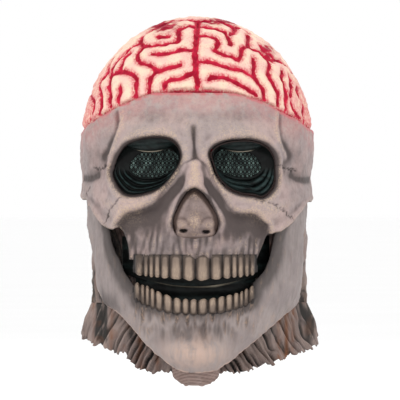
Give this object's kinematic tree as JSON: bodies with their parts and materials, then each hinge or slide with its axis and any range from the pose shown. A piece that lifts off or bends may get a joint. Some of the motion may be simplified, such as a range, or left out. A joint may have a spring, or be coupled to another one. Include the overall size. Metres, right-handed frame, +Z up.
{
  "type": "latex halloween mask",
  "caption": "Full-head latex skull mask with an exposed brain, mesh eye windows, fleshy nose, toothed hinged jaw and a ragged neck hem.",
  "frame": {"origin": "middle of the crown pad's flat underside, where the mask rests on the wearer's head", "axes": "+Z up, -Y the way the face looks, +X to the right as one faces the mask"},
  "size_m": [0.2208, 0.2539, 0.3477],
  "materials": {
    "bone": "matt latex, pinkish grey with warm dry-brushed edges",
    "jaw_bone": "matt latex, grey brown",
    "brain": "satin latex, cream folds with crimson grooves",
    "skin": "matt latex, grey brown",
    "hem": "matt latex, dark grey brown with rust shadows",
    "tooth": "satin latex, stained ivory",
    "flesh": "matt latex, brownish pink",
    "black_latex": "satin black latex",
    "black_mesh": "black perforated mesh",
    "foam": "dark grey foam",
    "elastic": "black woven elastic",
    "rivet": "black plastic"
  },
  "bodies": {
    "head": {"skull_face": "bone", "brain_cap": "brain", "head_skin": "skin", "neck_fringe_left": "hem", "neck_fringe_right": "hem", "neck_fringe_rear_left": "hem", "neck_fringe_rear_right": "hem", "throat_tab": "skin", "eye_socket_left": "black_latex", "eye_socket_right": "black_latex", "eye_screen_left": "black_mesh", "eye_screen_right": "black_mesh", "nose_piece": "flesh", "upper_teeth": "tooth", "mouth_liner_upper": "black_latex", "jaw_rivet_left": "rivet", "jaw_rivet_right": "rivet", "jaw_elastic_left": "elastic", "jaw_elastic_right": "elastic", "crown_pad": "foam", "forehead_pad": "foam"},
    "jaw": {"jaw_shell": "jaw_bone", "lower_teeth": "tooth", "mouth_liner_lower": "black_latex", "chin_pad": "foam"}
  },
  "joints": [
    {"name": "jaw_hinge", "type": "hinge", "parent": "head", "child": "jaw", "pos_m": [0, 0.005, -0.144], "axis": [1, 0, 0], "range_deg": [-2, 7], "stiffness_Nm_per_rad": 2, "springref_deg": -2.01, "deforming": ["jaw_elastic_left", "jaw_elastic_right"]}
  ]
}
